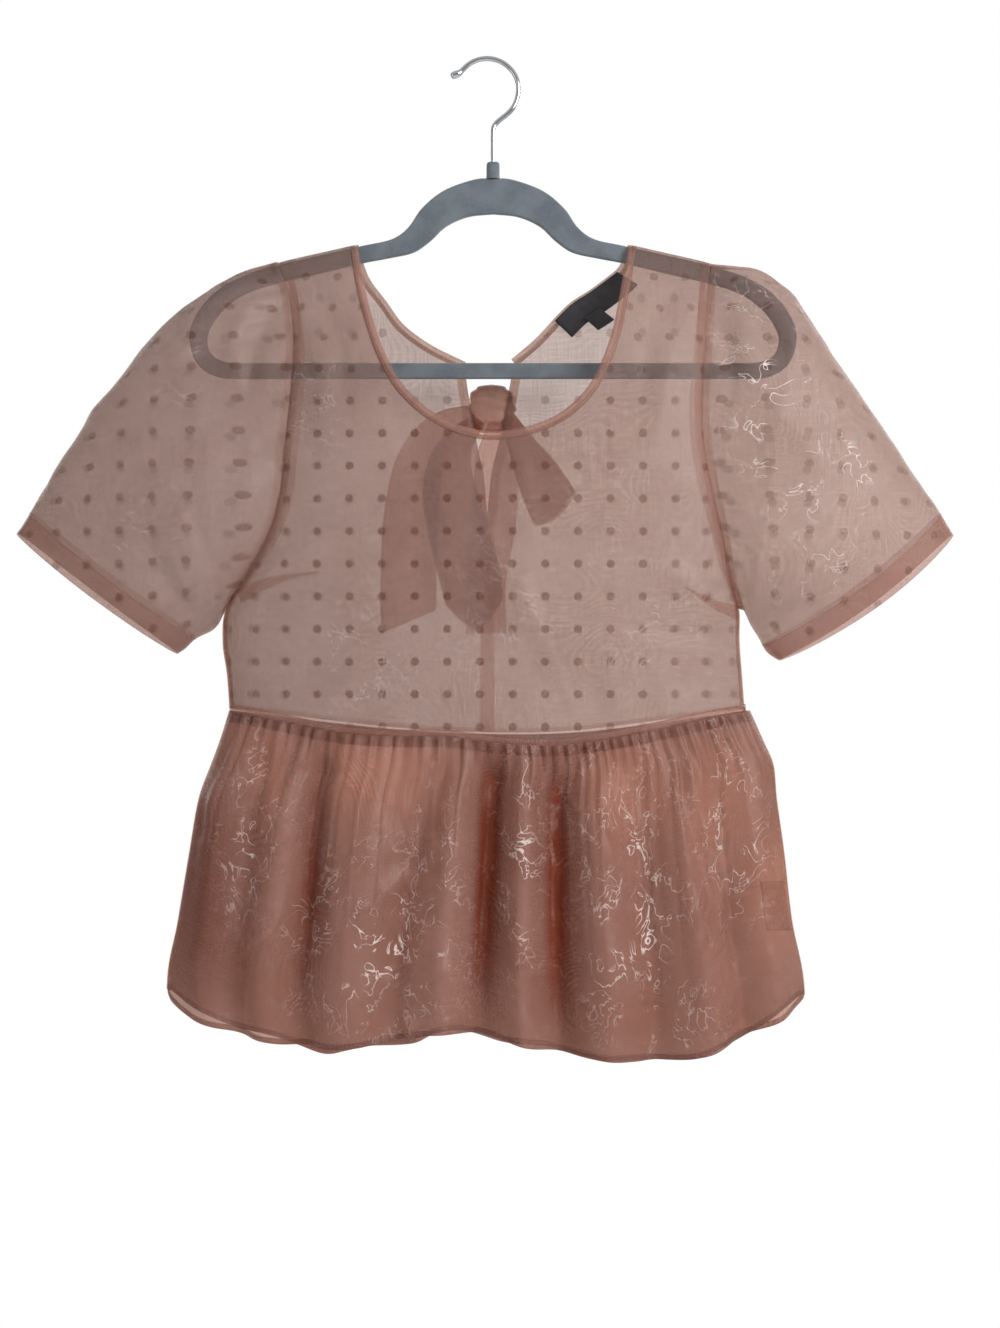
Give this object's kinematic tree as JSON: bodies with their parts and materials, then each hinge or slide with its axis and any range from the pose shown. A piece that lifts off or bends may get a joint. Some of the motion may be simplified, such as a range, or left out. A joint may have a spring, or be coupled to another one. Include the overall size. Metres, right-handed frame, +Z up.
{
  "type": "peplum top on a hanger",
  "caption": "Sheer short-sleeved top with puffed sleeves, a gathered peplum and a back tie, hung open and softly rounded on a slim flocked hanger.",
  "frame": {"origin": "inner top of the hanger's hook, where a rail or peg carries it", "axes": "+Z up, +X to the viewer's right when facing the garment's front, the front faces -Y"},
  "size_m": [0.685, 0.1343, 0.7418],
  "materials": {
    "dotted_sheer": "sheer dusty pink organza with small darker dots, crisp, slight gloss",
    "plain_sheer": "sheer dusty pink organza, plain, crinkled, glossy folds",
    "trim": "layered organza strip, stitched",
    "tie": "doubled organza band, slight gloss",
    "flock": "grey velvet flocking over slim moulded plastic",
    "steel": "bright plated wire",
    "dark_label": "plain black woven label, left blank",
    "white_label": "plain white care label, left blank"
  },
  "bodies": {
    "root": {"hanger_body": "flock", "hanger_collar": "flock", "hanger_hook": "steel", "bodice_front": "dotted_sheer", "bodice_back_left": "dotted_sheer", "bodice_back_right": "dotted_sheer", "neck_binding_front": "trim", "neck_binding_back_left": "trim", "neck_binding_back_right": "trim", "placket_left": "trim", "placket_right": "trim", "waist_band_front": "trim", "waist_band_back": "trim", "peplum_front": "plain_sheer", "peplum_back": "plain_sheer", "sleeve_left": "dotted_sheer", "sleeve_right": "dotted_sheer", "tie_knot": "tie", "tie_tail_left": "tie", "tie_tail_right": "tie", "tie_loop_left": "tie", "tie_loop_right": "tie", "neck_label": "dark_label", "size_tab": "dark_label", "care_label": "white_label"}
  },
  "joints": []
}
